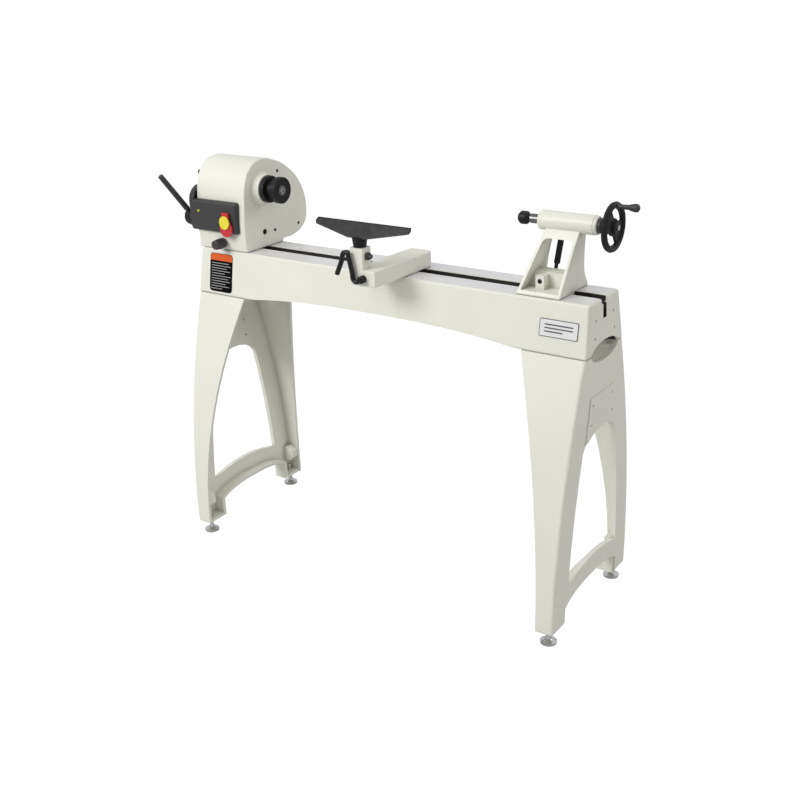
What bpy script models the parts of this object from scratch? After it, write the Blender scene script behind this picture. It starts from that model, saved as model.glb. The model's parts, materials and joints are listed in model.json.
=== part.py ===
"""Floor-standing wood lathe: cast bed on two arched stands, swivelling headstock, banjo and tailstock.

Metres, +Z up, +X from the headstock towards the tailstock, -Y towards the turner. The floor is z = 0 and the
spindle axis lies over y = 0. Every sub-part is one object, and every joint is an empty on its axis.
"""

import math

import bmesh
import bpy
from mathutils import Matrix, Vector

# ---- driving dimensions ----
SPINDLE_Z = 1.100
BED_TOP = 0.920
SEAM_Z = 0.783  # joint between the bed and the stands
BED_HALF_LENGTH = 0.650
BED_TOP_HALF_WIDTH = 0.088
BED_SEAM_HALF_WIDTH = 0.111
END_LEAN = 0.006  # how far the bed's ends lean out from its top to the stands
SKIRT = 0.020  # extra height at the seam, cut off after the edges are rounded
STAND_LEAN = 0.014  # how far each stand leans in from the bed to the feet
GAP_HALF = 0.0185  # half the slot between the two ways
WAY_THICKNESS = 0.028
LEG_BOTTOM = 0.040
LEG_BOTTOM_HALF_DEPTH = 0.2346
LEG_CURVE_POWER = 1.95
LEG_BOTTOM_WIDTH = 0.052
LEG_SEAM_WIDTH = 0.186
FOOT_X = 0.615
FOOT_Y = 0.203
CLEARANCE = 0.0003
HEADSTOCK_LEFT = -0.657
HEADSTOCK_RIGHT = -0.466
PIVOT_X = -0.558  # headstock swivel axis
BANJO_X = 0.0580  # centre line of the banjo's arm
POST_X = 0.036
POST_Y = -0.196
FRAME_SHIFT = -0.00751  # puts the footprint's centre on the origin

PARTS = None
CUTTERS = None
MATERIALS = {}

FINISHES = {
    "cream_paint": ((0.80, 0.80, 0.73), 0.38, 0.0),
    "black_plastic": ((0.030, 0.030, 0.032), 0.45, 0.0),
    "black_iron": ((0.028, 0.028, 0.030), 0.40, 0.3),
    "polished_steel": ((0.66, 0.66, 0.68), 0.18, 1.0),
    "zinc_steel": ((0.70, 0.70, 0.72), 0.28, 1.0),
    "red_plastic": ((0.72, 0.05, 0.05), 0.35, 0.0),
    "yellow_plastic": ((0.92, 0.85, 0.16), 0.35, 0.0),
    "grey_iron": ((0.22, 0.22, 0.22), 0.55, 0.6),
    "belt_rubber": ((0.02, 0.02, 0.02), 0.8, 0.0),
    "motor_paint": ((0.10, 0.10, 0.11), 0.5, 0.0),
}


# ---- scene helpers ----
def clear_scene():
    for obj in list(bpy.data.objects):
        bpy.data.objects.remove(obj, do_unlink=True)


def new_collection(name):
    collection = bpy.data.collections.new(name)
    bpy.context.scene.collection.children.link(collection)
    return collection


def material(name):
    if name not in MATERIALS:
        colour, roughness, metallic = FINISHES[name]
        made = bpy.data.materials.new(name)
        made.use_nodes = True
        shader = made.node_tree.nodes["Principled BSDF"]
        shader.inputs["Base Color"].default_value = (*colour, 1.0)
        shader.inputs["Roughness"].default_value = roughness
        shader.inputs["Metallic"].default_value = metallic
        MATERIALS[name] = made
    return MATERIALS[name]


def part(name, mesh, finish, location=(0, 0, 0)):
    mesh.materials.clear()
    mesh.materials.append(material(finish).copy())
    mesh.materials[0].name = name + "_finish"
    obj = bpy.data.objects.new(name, mesh)
    obj.location = location
    PARTS.objects.link(obj)
    return obj


def cutter(mesh, location=(0, 0, 0)):
    obj = bpy.data.objects.new("cutter", mesh)
    obj.location = location
    obj.hide_render = True
    obj.display_type = "WIRE"
    CUTTERS.objects.link(obj)
    return obj


def boolean(target, tool, operation):
    modifier = target.modifiers.new(operation.lower(), "BOOLEAN")
    modifier.operation = operation
    modifier.object = tool
    tool.parent = target
    tool.matrix_parent_inverse = Matrix.Translation(-target.location)


def cut(target, *meshes):
    for mesh in meshes:
        boolean(target, cutter(mesh), "DIFFERENCE")


def join(target, *meshes):
    for mesh in meshes:
        boolean(target, cutter(mesh), "UNION")


def keep_common(target, *meshes):
    for mesh in meshes:
        boolean(target, cutter(mesh), "INTERSECT")


def bevel(obj, width, segments=2, angle=50):
    modifier = obj.modifiers.new("bevel", "BEVEL")
    modifier.width = width
    modifier.segments = segments
    modifier.limit_method = "ANGLE"
    modifier.angle_limit = math.radians(angle)


def smooth(obj, angle=38):
    obj.data.shade_smooth()
    obj.data.set_sharp_from_angle(angle=math.radians(angle))


# ---- mesh helpers ----
def finished_mesh(bm, name="shape"):
    mesh = bpy.data.meshes.new(name)
    bm.to_mesh(mesh)
    bm.free()
    return mesh


def box(low, high):
    low, high = Vector(low), Vector(high)
    size = high - low
    bm = bmesh.new()
    place = Matrix.Translation((low + high) / 2) @ Matrix.Diagonal((*size, 1))
    bmesh.ops.create_cube(bm, size=1, matrix=place)
    return finished_mesh(bm)


def rod(start, end, radius, end_radius=None, segments=20):
    start, end = Vector(start), Vector(end)
    along = end - start
    turn = along.to_track_quat("Z", "Y").to_matrix().to_4x4()
    bm = bmesh.new()
    bmesh.ops.create_cone(
        bm,
        cap_ends=True,
        segments=segments,
        radius1=radius,
        radius2=radius if end_radius is None else end_radius,
        depth=along.length,
        matrix=Matrix.Translation((start + end) / 2) @ turn,
    )
    return finished_mesh(bm)


def evaluated_mesh(obj):
    """The object's mesh with its modifiers applied, and its loose caps welded."""
    bpy.context.view_layer.update()
    graph = bpy.context.evaluated_depsgraph_get()
    mesh = bpy.data.meshes.new_from_object(obj.evaluated_get(graph))
    mesh.transform(obj.matrix_world)
    bm = bmesh.new()
    bm.from_mesh(mesh)
    bmesh.ops.remove_doubles(bm, verts=bm.verts, dist=0.00001)
    bmesh.ops.dissolve_limit(bm, angle_limit=math.radians(0.5), verts=bm.verts, edges=bm.edges)
    bmesh.ops.recalc_face_normals(bm, faces=bm.faces)
    bm.to_mesh(mesh)
    bm.free()
    bpy.data.objects.remove(obj, do_unlink=True)
    return mesh


PLANES = {
    "YZ": Matrix(((0, 0, 1), (1, 0, 0), (0, 1, 0))),
    "XZ": Matrix(((1, 0, 0), (0, 0, -1), (0, 1, 0))),
    "XY": Matrix.Identity(3),
}


def plate(outlines, plane, low, high, rounded=False, steps=4):
    """A flat outline, or an outline and its holes, given thickness from low to high along the third axis."""
    if not isinstance(outlines[0][0], (tuple, list, Vector)):
        outlines = [outlines]
    curve = bpy.data.curves.new("outline", "CURVE")
    curve.dimensions = "2D"
    curve.fill_mode = "BOTH"
    curve.extrude = (high - low) / 2
    curve.resolution_u = steps
    for outline in outlines:
        spline = curve.splines.new("BEZIER" if rounded else "POLY")
        points = spline.bezier_points if rounded else spline.points
        points.add(len(outline) - 1)
        for point, (u, v, *corner) in zip(points, outline):
            point.co = (u, v, 0) if rounded else (u, v, 0, 1)
            if rounded:
                kind = "VECTOR" if corner else "AUTO"
                point.handle_left_type = point.handle_right_type = kind
        spline.use_cyclic_u = True
    obj = bpy.data.objects.new("outline", curve)
    bpy.context.scene.collection.objects.link(obj)
    turn = PLANES[plane].to_4x4()
    middle = PLANES[plane] @ Vector((0, 0, (low + high) / 2))
    if plane == "XZ":
        middle = -middle
    obj.matrix_world = Matrix.Translation(middle) @ turn
    return evaluated_mesh(obj)


def tube(points, radius, resolution=2, bend=True):
    """A round bar along the points, with filled ends."""
    curve = bpy.data.curves.new("bar", "CURVE")
    curve.dimensions = "3D"
    curve.bevel_depth = radius
    curve.bevel_resolution = resolution
    curve.resolution_u = 4
    curve.use_fill_caps = True
    spline = curve.splines.new("BEZIER" if bend else "POLY")
    targets = spline.bezier_points if bend else spline.points
    targets.add(len(points) - 1)
    for target, point in zip(targets, points):
        if bend:
            target.co = point
            target.handle_left_type = target.handle_right_type = "AUTO"
        else:
            target.co = (*point, 1)
    obj = bpy.data.objects.new("bar", curve)
    bpy.context.scene.collection.objects.link(obj)
    return evaluated_mesh(obj)


TURN_AXES = {
    "X": lambda radius, along: (along, radius, 0),
    "Y": lambda radius, along: (0, along, radius),
    "Z": lambda radius, along: (radius, 0, along),
}


def turned(profile, axis, centre, segments=28, ring=False):
    """A shape turned about an axis through centre. The profile holds (along, radius) pairs in rising order.

    A ring's profile is a closed loop: its outer side in rising order, then its inner side in falling order.
    """
    mesh = bpy.data.meshes.new("profile")
    points = [TURN_AXES[axis](radius, along) for along, radius in reversed(profile)]
    edges = [(i, i + 1) for i in range(len(points) - 1)]
    if ring:
        edges.append((len(points) - 1, 0))
    mesh.from_pydata(points, edges, [])
    obj = bpy.data.objects.new("profile", mesh)
    obj.location = centre
    bpy.context.scene.collection.objects.link(obj)
    screw = obj.modifiers.new("turn", "SCREW")
    screw.axis = axis
    screw.steps = screw.render_steps = segments
    screw.use_merge_vertices = True
    screw.merge_threshold = 0.00001
    return evaluated_mesh(obj)


def arc(centre, radius, start, end, count):
    """Points on an arc, angles in degrees. A pair as the radius makes it elliptical."""
    across, up = radius if isinstance(radius, tuple) else (radius, radius)
    angles = [math.radians(start + (end - start) * i / (count - 1)) for i in range(count)]
    return [(centre[0] + across * math.cos(a), centre[1] + up * math.sin(a)) for a in angles]


def rounded_rectangle(low, high, radius, count=4):
    (left, bottom), (right, top) = low, high
    points = []
    corners = ((right, top, 0), (left, top, 90), (left, bottom, 180), (right, bottom, 270))
    for x, z, start in corners:
        inward_x = -radius if x == right else radius
        inward_z = -radius if z == top else radius
        points += arc((x + inward_x, z + inward_z), radius, start, start + 90, count)
    return points


def circle(centre, radius, count=24):
    return arc(centre, radius, 0, 360 * (count - 1) / count, count)


def mirrored(points):
    """The outline's right half, bottom to top, followed by its mirror image."""
    return points + [(-y, z) for y, z in reversed(points)]


# ---- bed ----
def bed_half_width(z):
    share = (BED_TOP - z) / (BED_TOP - SEAM_Z)
    return BED_TOP_HALF_WIDTH + share * (BED_SEAM_HALF_WIDTH - BED_TOP_HALF_WIDTH)


def make_bed():
    edge_radius = 0.005
    wall = 0.009
    end_wall = 0.014
    web_half = 0.005
    rise, rise_power, arch_half = 0.025, 2.6, 0.464
    under_ways = BED_TOP - WAY_THICKNESS
    web_top = 0.862
    side = [(bed_half_width(SEAM_Z), SEAM_Z), (bed_half_width(BED_TOP - edge_radius), BED_TOP - edge_radius)]
    side += arc((BED_TOP_HALF_WIDTH - edge_radius, BED_TOP - edge_radius), edge_radius, 30, 90, 3)
    seam_half_length = BED_HALF_LENGTH + END_LEAN
    skirt_lean = END_LEAN * SKIRT / (BED_TOP - SEAM_Z)
    full = seam_half_length + 0.01
    bed = part("bed", plate(mirrored(side), "YZ", -full, full), "cream_paint")
    ends = mirrored(
        [
            (seam_half_length + skirt_lean, SEAM_Z - SKIRT),
            (BED_HALF_LENGTH, BED_TOP),
            (BED_HALF_LENGTH, BED_TOP + 0.01),
        ]
    )
    keep_common(bed, plate(ends, "XZ", -0.2, 0.2))
    bevel(bed, 0.007, 3)
    cut(bed, box((-full, -0.2, SEAM_Z - SKIRT - 0.01), (full, 0.2, SEAM_Z)))
    arch = []
    for i in range(13):
        x = arch_half * (1 - 2 * i / 12)
        arch.append((x, SEAM_Z + rise * (1 - abs(x / arch_half) ** rise_power)))
    arch = [(arch_half, SEAM_Z - 0.02)] + arch + [(-arch_half, SEAM_Z - 0.02)]
    cut(bed, plate(arch, "XZ", -0.2, 0.2))
    inner = BED_HALF_LENGTH - end_wall
    inner_low = bed_half_width(web_top) - wall
    tunnel = mirrored([(inner_low, web_top), (bed_half_width(under_ways) - wall, under_ways)])
    cut(bed, plate(tunnel, "YZ", -inner, inner))
    bay = mirrored([(BED_SEAM_HALF_WIDTH - wall, SEAM_Z - 0.01), (inner_low, web_top + 0.004)])
    webs = (-inner, -0.33, 0.0, 0.33, inner)
    for start, end in zip(webs, webs[1:]):
        low = start + (0 if start == -inner else web_half)
        high = end - (0 if end == inner else web_half)
        cut(bed, plate(bay, "YZ", low, high))
    cut(bed, box((-inner - 0.002, -GAP_HALF, under_ways - 0.01), (inner - 0.02, GAP_HALF, BED_TOP + 0.01)))
    cut(bed, box((inner - 0.03, -GAP_HALF, 0.905), (BED_HALF_LENGTH + 0.01, GAP_HALF, BED_TOP + 0.01)))
    cut(bed, box((inner - 0.03, -0.0065, 0.885), (BED_HALF_LENGTH + 0.02, 0.0065, 0.910)))
    cut(bed, box((inner - 0.03, -0.0095, 0.868), (BED_HALF_LENGTH + 0.02, 0.0095, 0.893)))
    for y, z in ((0.052, 0.872), (0.058, 0.826), (-0.052, 0.872), (-0.058, 0.826)):
        cut(bed, rod((BED_HALF_LENGTH - 0.003, y, z), (BED_HALF_LENGTH + 0.02, y, z), 0.0036, segments=10))
    oval = arc((0, SEAM_Z), (0.080, 0.027), 0, 360 * 23 / 24, 24)
    for x in (-seam_half_length, seam_half_length):
        cut(bed, plate(oval, "YZ", x - 0.035, x + 0.03))
    for x, y in STAND_BOLTS:
        cut(bed, rod((x, y, SEAM_Z - 0.01), (x, y, SEAM_Z + 0.034), 0.0052, segments=12))
    smooth(bed)
    return bed


# ---- stands ----
STAND_BOLTS = [(sx * 0.560, sy * 0.085) for sx in (-1, 1) for sy in (-1, 1)]


def leg_share(z):
    return ((z - LEG_BOTTOM) / (SEAM_Z - LEG_BOTTOM)) ** LEG_CURVE_POWER


def leg_half_depth(z):
    return LEG_BOTTOM_HALF_DEPTH - (LEG_BOTTOM_HALF_DEPTH - BED_SEAM_HALF_WIDTH) * leg_share(z)


def leg_width(z):
    return LEG_BOTTOM_WIDTH + (LEG_SEAM_WIDTH - LEG_BOTTOM_WIDTH) * leg_share(z)


def leg_heights(low, high, count):
    return [low + (high - low) * i / (count - 1) for i in range(count)]


def stretcher_top(y):
    return 0.181 - 1.06 * y * y


def stretcher_bottom(y):
    half, height, power = 0.190, 0.081, 2.5
    return LEG_BOTTOM + height * max(0.0, 1 - abs(y / half) ** power) ** (1 / power)


def make_stand(name, side):
    """side is +1 for the tailstock end and -1 for the headstock end."""
    outer = BED_HALF_LENGTH + END_LEAN
    face = 0.009
    end_face = 0.014
    leg_face = 0.080  # width of each leg seen from the end
    top_wall = 0.012
    flange_reach = 0.050
    reach = 0.195
    arch_half = 0.162  # half the width of the opening under the stretcher

    def along_x(low, high):
        ends = sorted((side * low, side * high))
        return ends[0], ends[1]

    heights = leg_heights(LEG_BOTTOM, SEAM_Z + SKIRT, 12)
    outline = mirrored([(leg_half_depth(z), z) for z in heights])
    stand = part(name + "_upright", plate(outline, "YZ", *along_x(outer - reach, outer)), "cream_paint")
    bevel(stand, 0.009, 3)
    above_low, above_high = along_x(outer - reach - 0.01, outer + 0.01)
    cut(stand, box((above_low, -0.2, SEAM_Z - CLEARANCE), (above_high, 0.2, SEAM_Z + SKIRT + 0.01)))
    inner_edge = [(side * (outer - leg_width(z)), z) for z in leg_heights(LEG_BOTTOM, SEAM_Z, 11)]
    inner_edge[0] = (inner_edge[0][0], LEG_BOTTOM - 0.01)
    inner_edge[-1] = (inner_edge[-1][0], SEAM_Z + 0.01)
    front = inner_edge + [(side * (outer + 0.02), SEAM_Z + 0.01), (side * (outer + 0.02), LEG_BOTTOM - 0.01)]
    keep_common(stand, plate(front, "XZ", -0.3, 0.3))
    hollow = [(leg_half_depth(z) - face, z) for z in leg_heights(LEG_BOTTOM, SEAM_Z - top_wall, 11)]
    hollow[0] = (hollow[0][0], LEG_BOTTOM - 0.01)
    cut(stand, plate(mirrored(hollow), "YZ", *along_x(0.40, outer - end_face)))
    start, end = along_x(0.40, outer - end_face)
    cut(stand, box((start, -0.062, SEAM_Z - 0.03), (end, 0.062, SEAM_Z + 0.01)))
    pad = mirrored([(0.094, 0.549), (0.088, 0.560), (0.074, 0.668)])
    join(stand, plate(pad, "YZ", *along_x(outer - 0.006, outer + 0.003)))
    top_z, spring_z = 0.569, 0.510
    spring_y = leg_half_depth(spring_z) - leg_face
    arch = [(leg_half_depth(z) - leg_face, z) for z in leg_heights(0.17, spring_z, 7)]
    arch += arc((0, spring_z), (spring_y, top_z - spring_z), 0, 90, 7)[1:-1]
    arch = [(arch[0][0] + 0.002, stretcher_top(arch[0][0]))] + arch
    lower = [(y, stretcher_top(y)) for y in (-0.12, -0.08, -0.04, 0.0, 0.04, 0.08, 0.12)]
    opening = arch + [(0, top_z)] + [(-y, z) for y, z in reversed(arch)] + lower
    cut(stand, plate(opening, "YZ", *along_x(outer - 0.03, outer + 0.03)))
    steps = [arch_half * i / 8 for i in range(8, -1, -1)]
    under = [(arch_half, LEG_BOTTOM - 0.02)] + [(y, stretcher_bottom(y)) for y in steps]
    under = under + [(-y, z) for y, z in reversed(under[:-1])]
    cut(stand, plate(under, "YZ", *along_x(outer - 0.03, outer + 0.03)))
    flange = plate(stretcher_flange(steps, 0.010), "YZ", *along_x(outer - flange_reach, outer - 0.004))
    join(stand, flange)
    for y, z in ((0.058, 0.646), (0.063, 0.593), (-0.058, 0.646), (-0.063, 0.593)):
        start, end = along_x(outer - 0.03, outer + 0.03)
        cut(stand, rod((start, y, z), (end, y, z), 0.0036, segments=10))
    oval = arc((0, SEAM_Z), (0.080, 0.027), 0, 360 * 23 / 24, 24)
    cut(stand, plate(oval, "YZ", *along_x(outer - 0.03, outer + 0.03)))
    x_low, x_high = along_x(outer - flange_reach, outer - 0.004)
    boss_x = side * (outer - 0.0285)
    for sign in (-1, 1):
        web_low, web_high = sorted((sign * (arch_half - 0.009), sign * (arch_half + 0.002)))
        lug_low, lug_high = sorted((sign * (arch_half - 0.009), sign * 0.2300))
        join(stand, box((x_low, web_low, LEG_BOTTOM + 0.003), (x_high, web_high, 0.1000)))
        join(stand, box((x_low, lug_low, LEG_BOTTOM + 0.001), (x_high, lug_high, 0.051)))
        boss_low, boss_high = sorted((sign * 0.196, sign * 0.2240))
        octagon = arc((boss_x, 0.116), (0.025, 0.028), 22.5, 337.5, 8)
        join(stand, plate(octagon, "XZ", boss_low, boss_high))
    lean = Matrix.Identity(4)
    lean[0][2] = side * STAND_LEAN / (SEAM_Z - LEG_BOTTOM)
    seam = Matrix.Translation((0, 0, SEAM_Z))
    leaning = evaluated_mesh(stand)
    leaning.transform(seam @ lean @ seam.inverted())
    stand = part(name, leaning, "cream_paint")
    for sign in (-1, 1):
        x, y = side * FOOT_X, sign * FOOT_Y
        cut(stand, rod((x, y, 0.03), (x, y, 0.08), 0.0055, segments=12))
    for x, y in STAND_BOLTS:
        if x * side > 0:
            cut(stand, rod((x, y, SEAM_Z - 0.03), (x, y, SEAM_Z + 0.01), 0.0055, segments=12))
    smooth(stand)
    return stand


def stretcher_flange(steps, thickness):
    """A band that follows the stretcher's lower edge, from one leg to the other."""
    ys = [-y for y in steps] + [y for y in reversed(steps) if y > 1e-6]
    lower = [(y, stretcher_bottom(y) + 0.0005) for y in ys]
    upper = [(y, stretcher_bottom(y) + thickness) for y in reversed(ys)]
    return lower + upper


def make_foot(name, x, y):
    """Pad, stem and nut, screwed fully up into the leg so that the nut's top meets it."""
    profile = [
        (0.0, 0.0),
        (0.0, 0.0225),
        (0.006, 0.0235),
        (0.010, 0.0150),
        (0.014, 0.0085),
        (0.0240, 0.0062),
        (0.0312, 0.0062),
        (0.0314, 0.0105),
        (0.0397, 0.0105),
        (0.0399, 0.0046),
        (0.074, 0.0046),
        (0.075, 0.0),
    ]
    foot = part(name, turned(profile, "Z", (x, y, 0), 16), "zinc_steel")
    smooth(foot)
    return foot


def make_stand_bolt(name, x, y):
    head_top = SEAM_Z - 0.012 - CLEARANCE
    profile = [
        (head_top - 0.007, 0.0),
        (head_top - 0.007, 0.0085),
        (head_top, 0.0085),
        (head_top, 0.0046),
        (SEAM_Z + 0.028, 0.0046),
        (SEAM_Z + 0.028, 0.0),
    ]
    bolt = part(name, turned(profile, "Z", (x, y, 0), 6), "zinc_steel")
    return bolt


def make_base():
    make_bed()
    make_stand("left_stand", -1)
    make_stand("right_stand", 1)
    for i, (x, y) in enumerate(STAND_BOLTS):
        make_stand_bolt(f"stand_bolt_{i + 1}", x, y)


# ---- headstock ----
DRIVE_X = -0.612  # middle of the belt
MOTOR_Y = 0.125
MOTOR_Z = 1.015
BULKHEAD = (-0.580, -0.572)  # wall between the drive bay and the motor bay
NOSE_BEARING = (-0.492, -0.476)
TAIL_BEARING = (-0.585, -0.570)
CLAMP_Z = 0.968
LOCK_PIN_X = -0.556
LOCK_PIN_Y = -0.0862
LOCK_PIN_Z = 0.9435
NOSE_BOSS = 0.022  # how far the cone round the spindle stands out
FACE_SCREWS = ((0.0754, 1.1397), (0.1600, 0.9630), (0.0467, 0.9642))
HOUSING_LEFT = -0.675
HOUSING_FRONT = -0.100
DIAL_CENTRE = (-0.066, 1.007)
SWITCH_X = -0.525
KEY_Z = 1.011
PADDLE_TOP = 1.040
INDICATOR = (-0.636, 1.036)


def headstock_outline(inset=0.0):
    """The headstock seen from the spindle's nose, optionally shrunk towards its middle."""
    corner = True
    points = [
        (-0.0845, BED_TOP + 0.0005, corner),
        (-0.0880, 0.985),
        (-0.0830, 1.065),
        (-0.0720, 1.125),
        (-0.0480, 1.165),
        (-0.0010, 1.186),
        (0.0600, 1.177),
        (0.1400, 1.134),
        (0.1890, 1.077),
        (0.2065, 1.015),
        (0.1960, 0.960),
        (0.1450, 0.932),
        (0.0880, 0.929, corner),
        (0.0840, BED_TOP + 0.0005, corner),
    ]
    middle_y, middle_z, half = 0.045, 1.055, 0.115
    scale = 1 - inset / half
    shrunk = []
    for y, z, *flag in points:
        shrunk.append((middle_y + (y - middle_y) * scale, middle_z + (z - middle_z) * scale, *flag))
    return shrunk


def make_headstock_casting():
    wall = 0.008
    left, right = HEADSTOCK_LEFT, HEADSTOCK_RIGHT
    wall_low, wall_high = BULKHEAD
    casting = part(
        "headstock_casting",
        plate(headstock_outline(), "YZ", left, right, rounded=True, steps=3),
        "cream_paint",
    )
    bevel(casting, 0.009, 3, 50)
    for low, high in (
        (left + 0.007, wall_low),
        (wall_high, right - wall),
    ):
        cut(casting, plate(headstock_outline(wall), "YZ", low, high, rounded=True, steps=2))
    nose, tail = NOSE_BEARING, TAIL_BEARING
    join(
        casting,
        box((wall_low - 0.002, -0.070, BED_TOP + 0.002), (right - 0.004, 0.070, 0.945)),
        rod((nose[0] - 0.003, 0, SPINDLE_Z), (right - 0.002, 0, SPINDLE_Z), 0.038, segments=28),
        rod((tail[0] - 0.002, 0, SPINDLE_Z), (tail[1] + 0.006, 0, SPINDLE_Z), 0.034, segments=28),
        rod((right - 0.004, 0, SPINDLE_Z), (right + NOSE_BOSS, 0, SPINDLE_Z), 0.052, 0.042, 32),
        rod((PIVOT_X, 0, BED_TOP - 0.018), (PIVOT_X, 0, BED_TOP + 0.01), GAP_HALF - 0.0005, segments=28),
    )
    cut(
        casting,
        rod((nose[0] - 0.01, 0, SPINDLE_Z), (nose[1] + CLEARANCE, 0, SPINDLE_Z), 0.0313, segments=28),
        rod((nose[1] - 0.005, 0, SPINDLE_Z), (right + 0.03, 0, SPINDLE_Z), 0.0210, segments=24),
        rod((tail[0] - 0.01, 0, SPINDLE_Z), (tail[1], 0, SPINDLE_Z), 0.0263, segments=28),
        rod((tail[1] - 0.005, 0, SPINDLE_Z), (tail[1] + 0.02, 0, SPINDLE_Z), 0.0190, segments=24),
        rod((wall_low - 0.01, MOTOR_Y, MOTOR_Z), (wall_high + 0.01, MOTOR_Y, MOTOR_Z), 0.0165, segments=20),
        box((wall_high + 0.006, 0.092, 0.915), (right - 0.016, 0.158, 0.960)),
        rod((PIVOT_X, 0, BED_TOP - 0.03), (PIVOT_X, 0, 0.96), 0.0068, segments=16),
        rod((-0.5725, 0, CLAMP_Z), (right + 0.01, 0, CLAMP_Z), 0.0078, segments=16),
        rod((right - 0.0325, 0, CLAMP_Z), (right + 0.01, 0, CLAMP_Z), 0.0090, segments=16),
        rod((LOCK_PIN_X, -0.10, LOCK_PIN_Z), (LOCK_PIN_X, -0.070, LOCK_PIN_Z), 0.0062, segments=14),
    )
    for y, z in FACE_SCREWS:
        cut(casting, rod((right - 0.006, y, z), (right + 0.01, y, z), 0.0036, segments=10))
    smooth(casting)


def make_face_screws():
    for i, (y, z) in enumerate(FACE_SCREWS):
        profile = [(-0.0055, 0), (-0.0055, 0.0032), (0.0004, 0.0032)]
        profile += [(0.0004, 0.0044), (0.0022, 0.0038), (0.0022, 0)]
        centre = (HEADSTOCK_RIGHT, y, z)
        smooth(part(f"face_screw_{i + 1}", turned(profile, "X", centre, 12), "black_iron"))


def make_control_housing():
    """Moulded box on the headstock's front, with a round-ended cover for the dial on its left end."""
    left, right = HOUSING_LEFT, -0.486
    low, high = 0.975, 1.0695
    front = HOUSING_FRONT
    section = [(front, low), (-0.070, low), (-0.070, high), (front, high)]
    housing = part("control_housing", plate(section, "YZ", left, right), "black_plastic")
    bevel(housing, 0.009, 3)
    end = HEADSTOCK_LEFT - 0.0008
    cover = rounded_rectangle((-0.0980, low), (-0.0090, 1.1060), 0.0444, 9)
    join(housing, plate(cover, "YZ", left + 0.001, end))
    cut(housing, plate(headstock_outline(-0.0005), "YZ", end, right + 0.01, rounded=True, steps=3))
    hollow = rounded_rectangle((-0.0920, low + 0.006), (-0.0150, 1.1000), 0.0384, 7)
    lens_x, lens_z = INDICATOR
    cut(
        housing,
        plate(hollow, "YZ", left + 0.006, end + 0.001),
        rod((left - 0.01, *DIAL_CENTRE), (left + 0.02, *DIAL_CENTRE), 0.0062, segments=14),
        box((SWITCH_X - 0.021, front - 0.01, 0.9800), (SWITCH_X + 0.021, front + 0.0105, 1.0360)),
        rod((lens_x, front - 0.01, lens_z), (lens_x, front + 0.008, lens_z), 0.0042, segments=12),
    )
    smooth(housing)


def make_speed_control():
    dial_x = HOUSING_LEFT - CLEARANCE
    y, z = DIAL_CENTRE
    ring = [
        (-0.0018, 0.0310),
        (0.0, 0.0315),
        (0.0, 0.0066),
        (-0.0018, 0.0066),
    ]
    smooth(part("speed_dial", turned(ring, "X", (dial_x, y, z), 32, ring=True), "grey_iron"))
    hub_x = dial_x - 0.0018 - CLEARANCE
    profile = [
        (-0.033, 0.0),
        (-0.033, 0.019),
        (-0.030, 0.025),
        (-0.012, 0.029),
        (-0.0005, 0.0295),
        (0.0, 0.0290),
        (0.0, 0.0058),
        (0.0185, 0.0058),
        (0.0185, 0.0),
    ]
    lever = part("speed_lever", turned(profile, "X", (hub_x, y, z), 28), "black_iron")
    lever_x = hub_x - 0.018
    base = Vector((lever_x, y, z))
    tip = Vector((lever_x - 0.0125, -0.172, 1.146))
    along = (tip - base).normalized()
    join(lever, rod(base, base + along * 0.060, 0.0045, segments=14))
    smooth(lever)
    sleeve = rod(base + along * 0.033, tip, 0.0088, 0.0082, segments=18)
    grip = part("speed_lever_grip", sleeve, "black_plastic")
    cut(grip, rod(base + along * 0.028, base + along * 0.064, 0.0048, segments=14))
    bevel(grip, 0.0016, 2)
    smooth(grip)
    return hub_x


def make_switch():
    front = HOUSING_FRONT
    middle = SWITCH_X
    low_z, radius = 0.990, 0.0235  # round lower end of the paddle
    body_low = (middle - 0.0204, front + 0.0003, 0.9806)
    body = part("switch_body", box(body_low, (middle + 0.0204, front + 0.0092, 1.0354)), "black_plastic")
    bevel(body, 0.0015)
    post_low = (middle - 0.0045, front - 0.01, KEY_Z - 0.008)
    cut(body, box(post_low, (middle + 0.0045, front + 0.012, KEY_Z + 0.008)))
    outline = arc((middle, low_z), radius, 180, 360, 9)
    outline += [(middle + radius, 1.000), (middle + 0.0140, 1.018), (middle + 0.0125, PADDLE_TOP)]
    outline += [(middle - 0.0125, PADDLE_TOP), (middle - 0.0140, 1.018), (middle - radius, 1.000)]
    hole = rounded_rectangle((middle - 0.0055, KEY_Z - 0.009), (middle + 0.0055, KEY_Z + 0.009), 0.003, 3)
    shield = plate([outline, hole], "XZ", front - 0.0085, front - 0.0008)
    paddle = part("switch_paddle", shield, "red_plastic")
    bevel(paddle, 0.0018, 2)
    smooth(paddle)
    key_outline = arc((middle, KEY_Z), (0.0190, 0.0205), 0, 337.5, 16)
    key = part("safety_key", plate(key_outline, "XZ", front - 0.0140, front - 0.0090), "yellow_plastic")
    post_low = (middle - 0.0035, front - 0.010, KEY_Z - 0.005)
    join(key, box(post_low, (middle + 0.0035, front + 0.006, KEY_Z + 0.005)))
    bevel(key, 0.0012, 2)
    smooth(key)
    x, z = INDICATOR
    lens = [(-0.0038, 0.0), (-0.0030, 0.0028), (0.0, 0.0038), (0.0075, 0.0038), (0.0075, 0.0)]
    smooth(part("power_indicator", turned(lens, "Y", (x, front, z), 14), "yellow_plastic"))


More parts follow.
